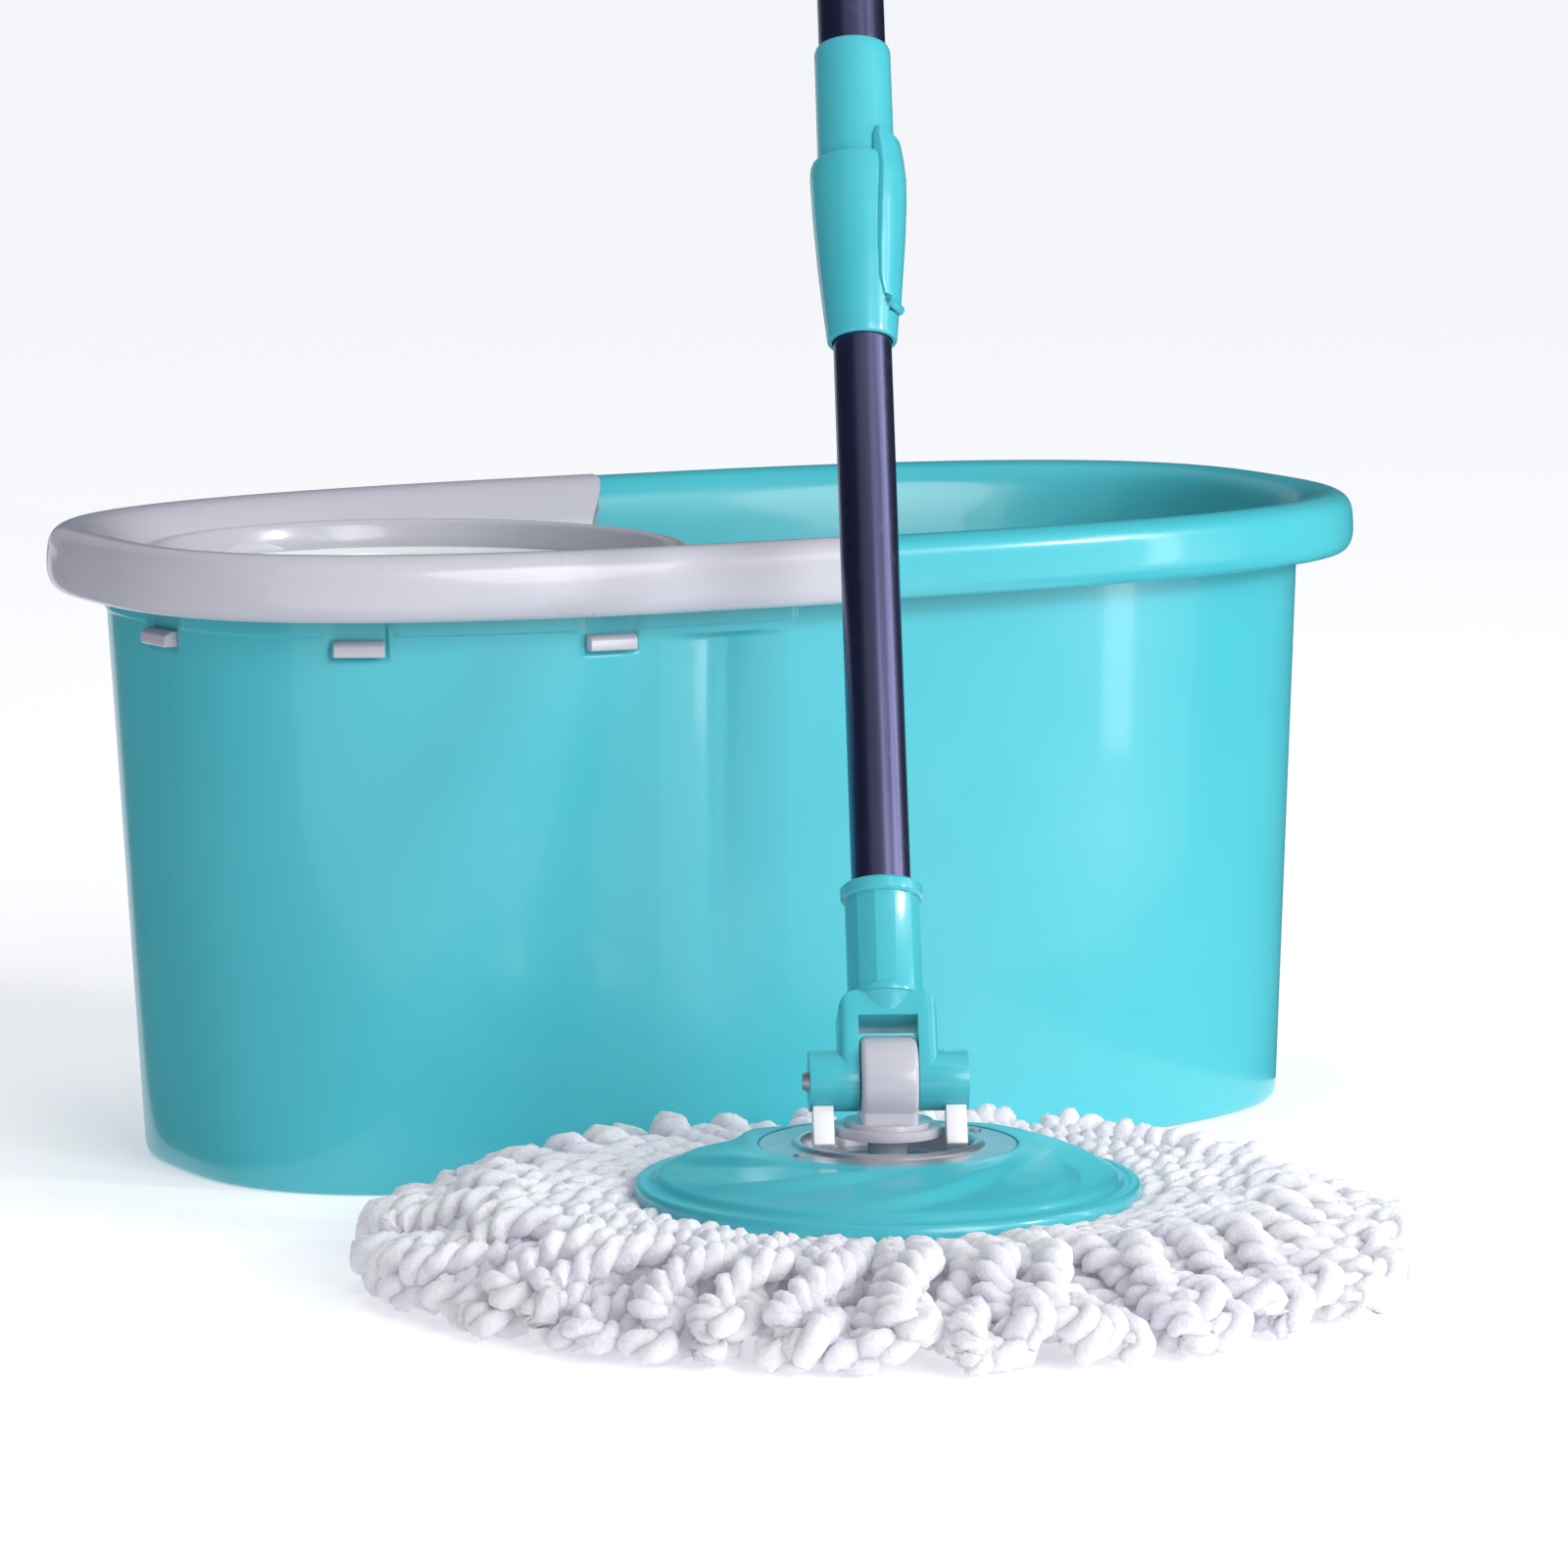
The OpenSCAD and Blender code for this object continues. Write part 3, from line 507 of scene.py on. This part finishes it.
def band_and_tabs(x, y, z):
    """A raised band under the insert's rim, notched round each clip."""
    length = np.hypot(x / WALL_A ** 2, y / WALL_B ** 2) + 1e-9
    nx, ny = x / WALL_A ** 2 / length, y / WALL_B ** 2 / length
    side = np.where(y < 0, ARM_FRONT, ARM_REAR) - 28 * MM
    amount = soft_step(z, BAND_Z - 0.5 * MM, BAND_Z + 0.5 * MM) * (1 - soft_step(x, side - 2 * MM, side))
    for place, facing in tab_places():
        along = np.abs((x - place.x) * -facing.y + (y - place.y) * facing.x)
        near = (x - place.x) * facing.x + (y - place.y) * facing.y > -20 * MM
        amount = amount * (1 - near * (1 - soft_step(along, NOTCH_HALF - 0.5 * MM, NOTCH_HALF + 0.5 * MM)))
        pocket = near * (1 - soft_step(along, POCKET_HALF - 0.3 * MM, POCKET_HALF + 0.3 * MM))
        pocket = pocket * soft_step(z, POCKET_Z - 0.4 * MM, POCKET_Z + 0.4 * MM)
        amount = amount - 1.3 * pocket
    return x + nx * BAND_PROUD * amount, y + ny * BAND_PROUD * amount


# ---------------------------------------------------------------- spin insert
def arm_end(inset, y_sign):
    """Where the arm ends at each distance in from the rim: straight outside, swept back inside."""
    arm = ARM_REAR if y_sign > 0 else ARM_FRONT
    back = np.clip((inset - 11 * MM) / (16 * MM), 0, 1)
    corner = np.clip(1 - inset / (4 * MM), 0, 1)
    return arm - 11 * MM * back ** 1.8 - 1.5 * MM * corner ** 2


def make_insert(materials):
    """The grey rim, swept round the basket's lobe, with the deck, the lip and the clips that it carries."""
    # Both paths hold how far in from the bucket's rim a point is, in millimetres, and its height
    over = smooth([
        (7.6, RIM_Z), (6.6, RIM_Z - 0.4 * MM), (2.4, RIM_Z), (-0.1, RIM_Z + 4.1 * MM),
        (-0.3, RIM_Z + 11 * MM), (0.7, TOP - 2.6 * MM), (5.2, TOP + 0.8 * MM), (10, TOP + 0.7 * MM),
        (14.8, TOP - 0.8 * MM), (20.5, TOP - 5.6 * MM), (24.8, TOP - 11.5 * MM),
        (26.3, DECK_Z + 0.4 * MM), (26.4, DECK_Z - 1 * MM)])
    under = rounded([
        ((26.6, DECK_Z - 2 * MM), 0), ((22.2, DECK_Z - 2.2 * MM), 0.3 * MM),
        ((22.2, SHELF_Z - 1.5 * MM), 0.5 * MM), ((20.7, SHELF_Z), 0.5 * MM), ((15.6, SHELF_Z), 0.5 * MM),
        ((11, TOP - 3.4 * MM), 1 * MM), ((6.6, TOP - 3.8 * MM), 1 * MM), ((3.4, TOP - 8 * MM), 1 * MM),
        ((3.2, RIM_Z + 6 * MM), 1 * MM), ((7.4, RIM_Z + 1.2 * MM), 0)], arc=4)
    section = np.concatenate([over, under])
    build = Build()
    grid_angles = np.unwrap(even_angles(4000))
    rows = []
    for inset, z in section:
        a, b = RIM_A - inset * MM, RIM_B - inset * MM
        x, y = outline(a, b, 0, grid_angles)
        rear = grid_angles[np.argmax((y > 0) & (x < arm_end(inset * MM, 1)))]
        front_side = (y < 0) & (x < arm_end(inset * MM, -1))
        front = grid_angles[len(grid_angles) - 1 - np.argmax(front_side[::-1])]
        start, stop = np.searchsorted(grid_angles, [rear, front])
        angles = np.interp(np.linspace(start, stop, 520), np.arange(len(grid_angles)), grid_angles)
        x, y = outline(a, b, 0, angles)
        rows.append(np.stack([x, y, np.full_like(x, z)], -1))
    build.grid(rows, wrap_rows=True, wrap_columns=False)
    deck(build)
    lip(build)
    for place, facing in tab_places():
        clip(build, place, facing)
    obj = add_object("spin_insert_body", build, "grey_gloss", materials, sharp=40)
    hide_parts("spin_insert")
    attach(obj, "bucket")


def deck(build):
    """The sunken deck between rim and lip, drawn in to the lip where the water compartment begins."""
    angles = np.linspace(0, 2 * math.pi, 360, endpoint=False)
    c, s = np.cos(angles), np.sin(angles)
    rim_inside = distance_out(RIM_A - 26 * MM, RIM_B - 26 * MM, c, s)
    turn = np.abs(np.degrees(np.where(angles > math.pi, angles - 2 * math.pi, angles)))
    far = LIP_R + (rim_inside - LIP_R) * soft_step(turn, 36, 66)
    inner = np.full_like(far, LIP_R - 1.6 * MM)
    far = np.maximum(far, inner + 0.5 * MM)
    rows = []
    for radius, z in ((inner, DECK_Z), (far - 0.4 * MM, DECK_Z), (far, DECK_Z - 0.4 * MM),
                      (far, DECK_Z - 2 * MM), (inner, DECK_Z - 2.2 * MM)):
        rows.append(np.stack([spin[0] + radius * c, radius * s, np.full_like(c, z)], -1))
    build.grid(rows, wrap_rows=True)


def lip(build):
    """The raised lip round the basket."""
    lip_top = LIP_TOP / MM
    # Each corner's distance out from the lip's edge, height and rounding, in millimetres
    corners = [
        (-6.4, 195, 0), (-6.4, 191, 0.3), (-4.4, 191, 0.3), (-4.2, 199, 1), (-2.6, 202, 0.6),
        (-2.2, 196.2, 0.3), (0.8, 196.2, 0.3), (0.4, 203, 2), (-0.6, lip_top, 2), (-4.4, lip_top, 2),
        (-6.3, 201, 2), (-6.4, 195.2, 0)]
    profile = rounded([((LIP_R + out * MM, z * MM), arc * MM) for out, z, arc in corners])
    revolve(build, profile, (spin[0], 0, 0), steps=256)


def clip(build, place, facing):
    """A clip's hook: a small block with rounded edges and a sloped top."""
    side = Vector((-facing.y, facing.x, 0))
    half, middle_z = 8.5 * MM, 183.5 * MM
    # Along the wall, how much of the hook's depth is kept there, and how much of its height
    stations = [(-half, 0.75, 0.9), (-half + 0.5 * MM, 1, 1), (half - 0.5 * MM, 1, 1), (half, 0.75, 0.9)]
    section = [(-4, 181), (2.5, 181), (3, 181.5), (3, 184.4), (2.6, 185), (0.8, 186.2), (-4, 186.2)]
    rows = []
    for out, z in section:
        row = []
        for along, depth, height in stations:
            point = place + facing * (out * MM if out < 0 else out * MM * depth) + side * along
            row.append((point.x, point.y, middle_z + (z * MM - middle_z) * height))
        rows.append(row)
    build.grid(rows, wrap_rows=True, wrap_columns=False)


# ---------------------------------------------------------------- mop head
def make_head_plate(materials):
    """Domed plate with a rolled edge, a seat for the steel ring, and shallow blades like a pinwheel's."""
    centre = np.array(joints["head_swivel"]["pos_m"])
    centre[2] = 0
    plate_low, plate_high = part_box("head_plate")
    plate_r = (plate_high[0] - plate_low[0]) / 2
    edge, crown, seat_r = 30 * MM, 42.4 * MM, 41 * MM

    def dome(r):
        return crown - (crown - edge - 0.8 * MM) * ((r - seat_r) / (plate_r - seat_r - 3 * MM)) ** 1.35

    top = [((r, dome(r)), 0) for r in np.arange(plate_r - 8 * MM, 43.5 * MM, -0.9 * MM)]
    skirt = [
        ((plate_r - 2.6 * MM, 19.4 * MM), 0), ((plate_r, 19.4 * MM), 0.5 * MM),
        ((plate_r, edge - 1.4 * MM), 1 * MM), ((plate_r - 0.8 * MM, edge + 0.6 * MM), 1 * MM),
        ((plate_r - 3 * MM, edge + 0.9 * MM), 1 * MM), ((plate_r - 4.6 * MM, edge + 0.1 * MM), 1 * MM),
        ((plate_r - 6.5 * MM, edge + 0.9 * MM), 1 * MM)]
    seat = [((r * MM, z * MM), arc * MM) for r, z, arc in (
        (42, crown / MM, 0.4), (41, crown / MM - 0.1, 0.3), (41, 41.2, 0.1), (28.2, 41.2, 0.2),
        (28.2, 36, 1), (7, 36, 0.3), (7, 33, 0), (11, 33, 0), (11, 25, 0), (9.6, 25, 0), (9.6, 23, 0),
        (14, 23, 0.5), (14.6, 33, 1), (31, 33.4, 1), (31.6, 38.4, 1), (41, 38.6, 1))]
    under = [((r, dome(r) - 2.6 * MM), 0) for r in np.arange(46 * MM, plate_r - 8 * MM, 5 * MM)]
    under += [((plate_r - 3 * MM, edge - 2 * MM), 1 * MM), ((plate_r - 2.7 * MM, 20 * MM), 0)]
    profile = rounded(skirt + top + seat + under, arc=4)
    angles = np.linspace(0, 2 * math.pi, 540, endpoint=False)
    # A blade is swept round by twist times its own width, and one share of it climbs while the rest falls
    blades, twist, climb, rise = 7, 1.6, 0.7, 1.8 * MM
    upper = np.arange(len(profile)) < len(rounded(skirt + top, arc=4))
    rows = []
    for (r, z), is_top in zip(profile, upper):
        height = np.full_like(angles, z)
        if is_top and r < plate_r - 7 * MM:
            swept = twist * (r - 42 * MM) / (plate_r - 42 * MM)
            phase = (angles / (2 * math.pi) * blades + swept) % 1.0
            ramp = np.where(phase < climb, (phase / climb) ** 1.3, 1 - soft_step(phase, climb, 1.0))
            fade = soft_step(r, 43 * MM, 52 * MM) * (1 - soft_step(r, plate_r - 17 * MM, plate_r - 8 * MM))
            height = height + rise * fade * (ramp - 0.35)
        rows.append(np.stack([centre[0] + r * np.cos(angles), centre[1] + r * np.sin(angles), height], -1))
    build = Build()
    build.grid(rows, wrap_rows=True)
    obj = add_object("head_plate_dome", build, "teal_gloss", materials, sharp=38)
    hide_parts("head_plate")
    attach(obj, "mop_head")


def rope(build, path, radius, phase, rng, pitch, sides=10):
    """Two soft plies wound round a path. Each ply swells a little between the crossings."""
    ahead = np.gradient(path, axis=0)
    ahead /= np.linalg.norm(ahead, axis=1)[:, None]
    along = np.concatenate([[0], np.cumsum(np.linalg.norm(np.diff(path, axis=0), axis=1))])
    side = np.cross(ahead, (0.0, 0.0, 1.0)) + ahead * 1e-6
    side /= np.linalg.norm(side, axis=1)[:, None]
    up = np.cross(side, ahead)
    ring = np.linspace(0, 2 * math.pi, sides, endpoint=False)
    turn = phase + along * 2 * math.pi / pitch
    swell = rng.uniform(0, 6.3)
    ply_share, offset_share = 0.69, 0.37
    for half in (0, math.pi):
        angle = turn + half
        slow = 0.06 * np.sin(along / (5.3 * MM) + swell + half)
        quick = 0.05 * np.sin(along / (1.9 * MM) + 2 * swell)
        ply = radius * ply_share * (1 + 0.10 * np.cos(2 * angle) + slow + quick)
        outward = side * np.cos(angle)[:, None] + up * np.sin(angle)[:, None]
        middle = path + outward * (radius * offset_share)[:, None]
        rows = middle[:, None, :] + (side[:, None, :] * np.cos(ring)[None, :, None]
                                     + up[:, None, :] * np.sin(ring)[None, :, None]) * ply[:, None, None]
        build.grid(rows)


def make_yarn(materials):
    """Loops of thick two-ply yarn in three layers. The outer end of each loop is wound on itself."""
    rng = random.Random(11)
    low, high = (np.array(v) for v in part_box("yarn_fringe"))
    centre = (low + high) / 2
    outer = (high[0] - low[0]) / 2
    build = Build()
    leg_points, bend_points = 66, 10
    # A loop's legs stand apart by a share of their distance from the middle, up to a limit in millimetres
    opening, half_width, bend_reach = 0.0455, 4.9, 4.6
    # Loops, height near the plate, at the crest and at the tip, reach past the ring and start, in millimetres
    layers = ((35, 6.5, 6.5, 6.0, -2, 52), (35, 13, 15.5, 10, -1, 52), (34, 19, 25, 15, -6, 70))
    for layer, (count, near_z, crest_z, tip_z, reach, start) in enumerate(layers):
        for i in range(count):
            heading = 2 * math.pi * (i + 0.5 * layer + rng.uniform(-0.12, 0.12)) / count
            tip = outer / MM + reach - 5 + rng.uniform(-3, 3)
            wound_end = rng.uniform(0.7, 1.5) * math.pi
            lean = rng.uniform(-0.25, 0.25)
            leg = np.linspace(start, tip, leg_points)
            bend = np.linspace(0, math.pi, bend_points)[1:-1]
            u = np.concatenate([leg, tip + bend_reach * np.sin(bend), leg[::-1]])
            leg_apart = np.minimum(opening * leg, half_width)
            apart = np.concatenate([leg_apart, half_width * np.cos(bend), -leg_apart[::-1]])
            wound = lean + wound_end * soft_step(u, start + (tip - start) * 0.45, tip)
            # Along the loop, s runs from 0 at the plate to 1 at the tip and back
            s = np.clip((u - start) / (tip - start), 0, 1)
            crest = np.sin(math.pi * np.clip(s / 0.36, 0, 1) / 2)
            z = near_z + (crest_z - near_z) * crest + (tip_z - crest_z) * soft_step(s, 0.55, 1.0)
            z = z + rng.uniform(-1.4, 1.4) * s + 0.85 * apart * np.sin(wound)
            radius = np.interp(s, [0, 0.15, 0.8, 1], [4.2, 5.2, 5.7, 5.5]) * rng.uniform(0.95, 1.06)
            z = np.maximum(z, radius * 1.2)
            across = apart * np.cos(wound)
            angle = heading + rng.uniform(-0.07, 0.07) * s ** 1.6
            x = u * np.cos(angle) - across * np.sin(angle)
            y = u * np.sin(angle) + across * np.cos(angle)
            path = np.stack([x, y, z], -1) * MM + (centre[0], centre[1], 0)
            rope(build, path, radius * MM, rng.uniform(0, 6.28), rng, rng.uniform(16, 19) * MM)
    obj = add_object("yarn_loops", build, "yarn", materials, sharp=180)
    fluff = bpy.data.textures.new("fluff", "CLOUDS")
    fluff.noise_scale = 4 * MM
    fluff.noise_depth = 1
    lumps = obj.modifiers.new("lumps", "DISPLACE")
    lumps.texture = fluff
    lumps.strength = 2.8 * MM
    lumps.mid_level = 0.5
    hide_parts("yarn_fringe")
    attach(obj, "mop_head")


# ---------------------------------------------------------------- CAD pieces that stay
def finish_cad(materials, replaced):
    """Gives every CAD piece that still shows its material and smooth curved faces, and slightly eases the edges of
    a few of them.
    """
    slots = {row["node"]: row["material_slot"] for row in frame["record"]["subparts"]}
    # Width of the rounding on a piece's edges, in millimetres
    eased = {"yoke": 0.7, "locking_feet": 0.6, "swivel_post": 0.8, "end_cap": 0.8, "clamp_sleeve": 0.3,
             "clamp_collar": 0.3, "clamp_lever": 0.5}
    for name, node in frame["nodes"].items():
        if name in replaced:
            continue
        node.data.materials.clear()
        node.data.materials.append(materials[slots[name]])
        for polygon in node.data.polygons:
            polygon.material_index = 0
        if "custom_normal" in node.data.attributes:
            node.data.attributes.remove(node.data.attributes["custom_normal"])
        node.data.shade_smooth()
        weld = node.modifiers.new("weld", "WELD")
        weld.merge_threshold = 1e-6
        if name in eased:
            bevel = node.modifiers.new("eased", "BEVEL")
            bevel.width = eased[name] * MM
            bevel.segments = 3
            bevel.limit_method = "ANGLE"
            bevel.angle_limit = math.radians(24)
        split = node.modifiers.new("crisp", "EDGE_SPLIT")
        split.split_angle = math.radians(28)


make_camera()
make_studio()
kinds = make_materials()
make_bucket(kinds)
make_insert(kinds)
make_head_plate(kinds)
make_yarn(kinds)
finish_cad(kinds, {"bucket_shell", "spin_insert", "head_plate", "yarn_fringe"})
